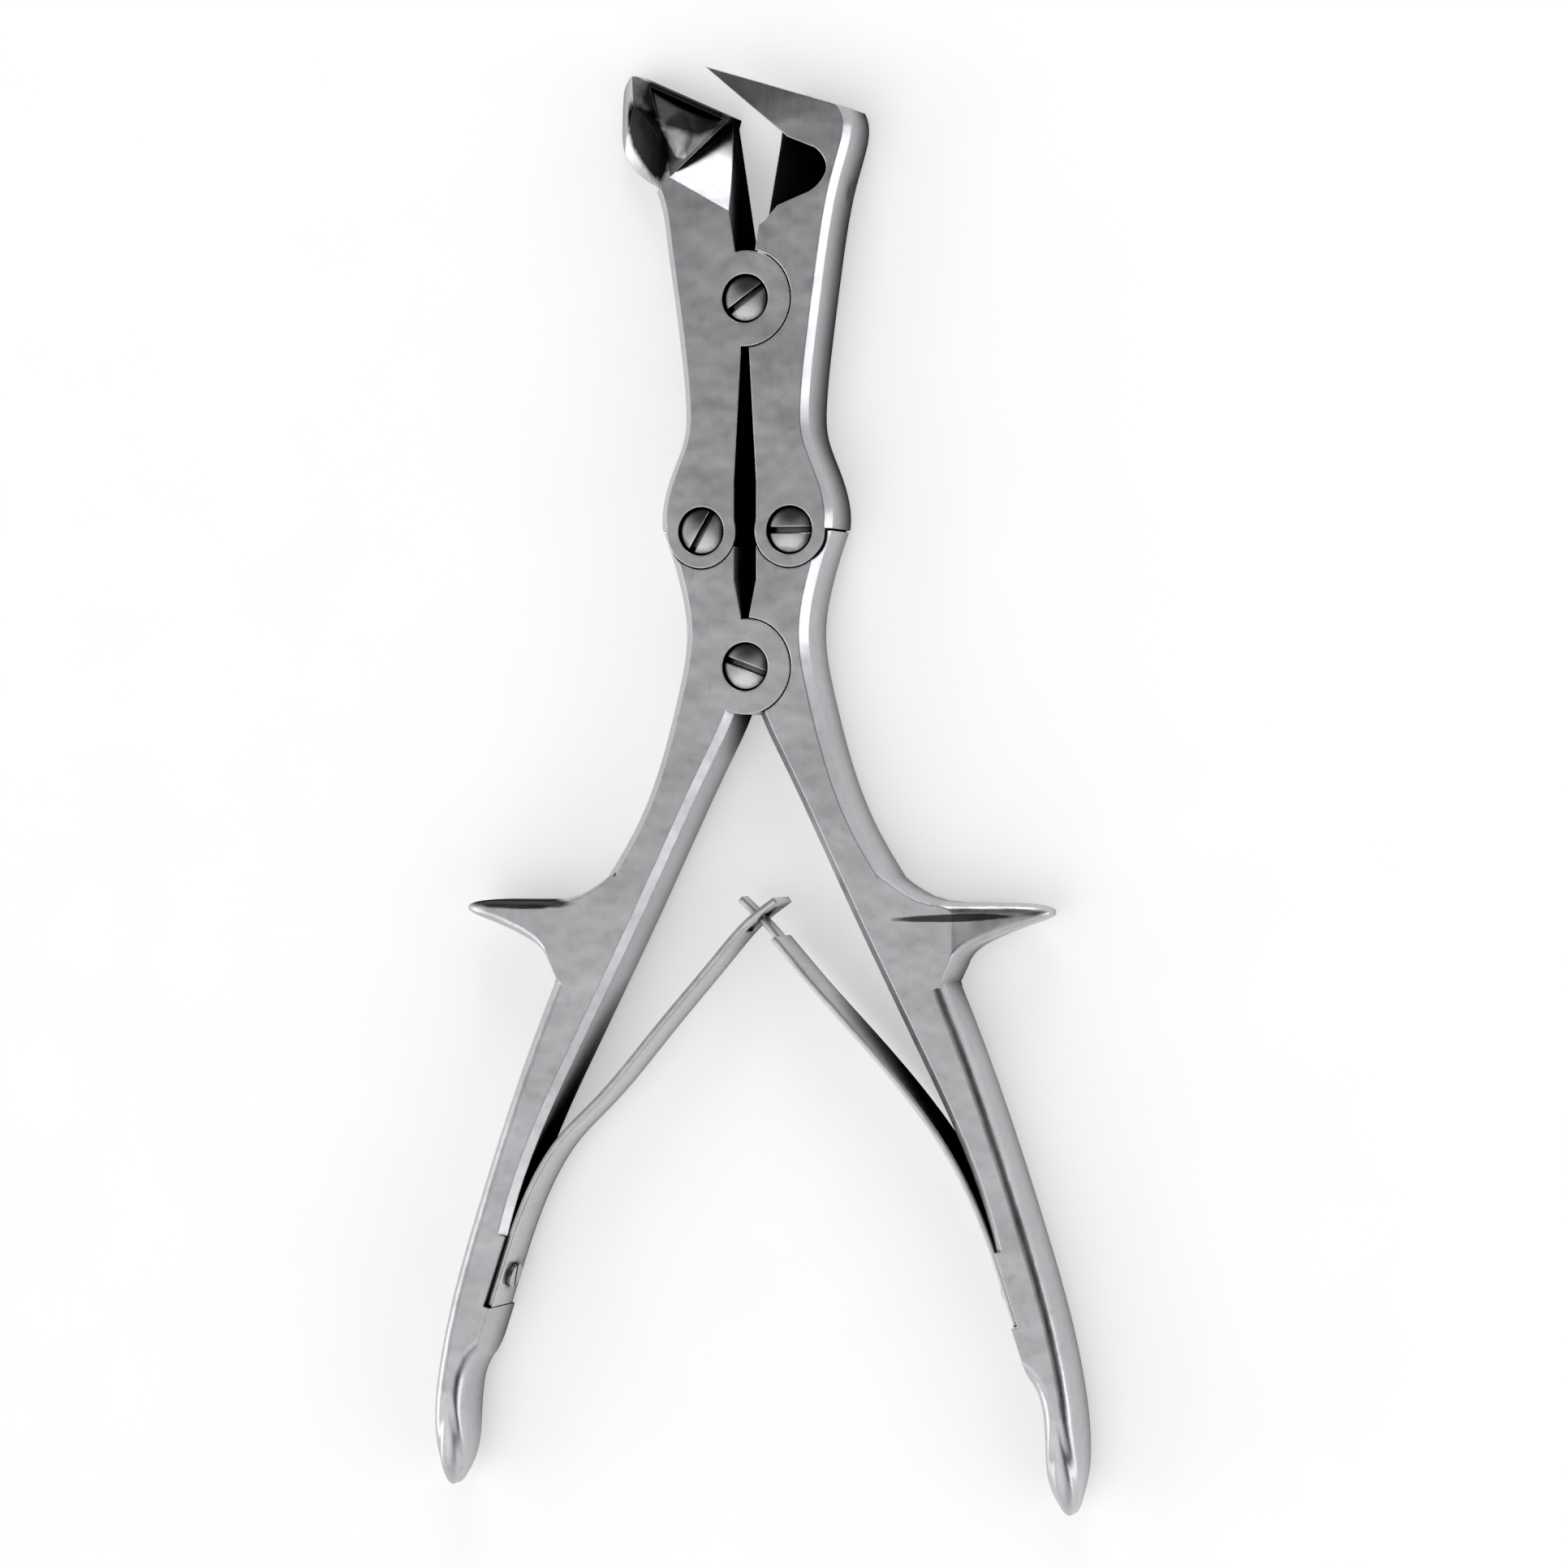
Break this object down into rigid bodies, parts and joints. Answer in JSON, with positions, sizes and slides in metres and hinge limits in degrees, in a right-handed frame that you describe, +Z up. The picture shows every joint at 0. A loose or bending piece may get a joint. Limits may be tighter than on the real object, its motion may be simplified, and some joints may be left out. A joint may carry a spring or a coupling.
{
  "type": "bone rongeur",
  "caption": "Double action bone rongeur in satin stainless steel, with a bevelled cup jaw and a beak jaw, finger horns and crossed leaf springs.",
  "frame": {"origin": "The middle of the instrument's length, on its centre line, on its underside.", "axes": "+X is to the right seen from the front, +Y runs from the grips to the jaws, +Z is up out of the front face."},
  "size_m": [0.1272, 0.2652, 0.0122],
  "materials": {
    "satin_steel": "satin",
    "screw_steel": "satin",
    "spring_steel": "polished"
  },
  "bodies": {
    "left_handle": {"left_handle": "satin_steel", "left_link_screw": "screw_steel", "left_spring_leaf": "spring_steel", "left_spring_screw": "screw_steel"},
    "right_handle": {"right_handle": "satin_steel", "right_link_screw": "screw_steel", "handle_pivot_screw": "screw_steel", "right_spring_leaf": "spring_steel", "right_spring_screw": "screw_steel"},
    "left_jaw": {"left_jaw": "satin_steel"},
    "right_jaw": {"right_jaw": "satin_steel", "jaw_pivot_screw": "screw_steel"}
  },
  "joints": [
    {"name": "handle_fold", "type": "hinge", "parent": "left_handle", "child": "right_handle", "pos_m": [0, 0.0213, 0.0061], "axis": [0, 0, -1], "range_deg": [0, 28.3], "stiffness_Nm_per_rad": 3, "deforming": ["left_spring_leaf", "right_spring_leaf"]},
    {"name": "left_link", "type": "hinge", "parent": "left_handle", "child": "left_jaw", "pos_m": [-0.0087, 0.04635, 0.0061], "axis": [0, 0, -1], "range_deg": [0, 22.2]},
    {"name": "right_link", "type": "hinge", "parent": "right_handle", "child": "right_jaw", "pos_m": [0.0087, 0.04635, 0.0061], "axis": [0, 0, 1], "range_deg": [0, 22.2]}
  ],
  "couplings": [
    {"joint": "left_link", "follows": "handle_fold", "ratio": 0.7833},
    {"joint": "right_link", "follows": "handle_fold", "ratio": 0.7833}
  ]
}
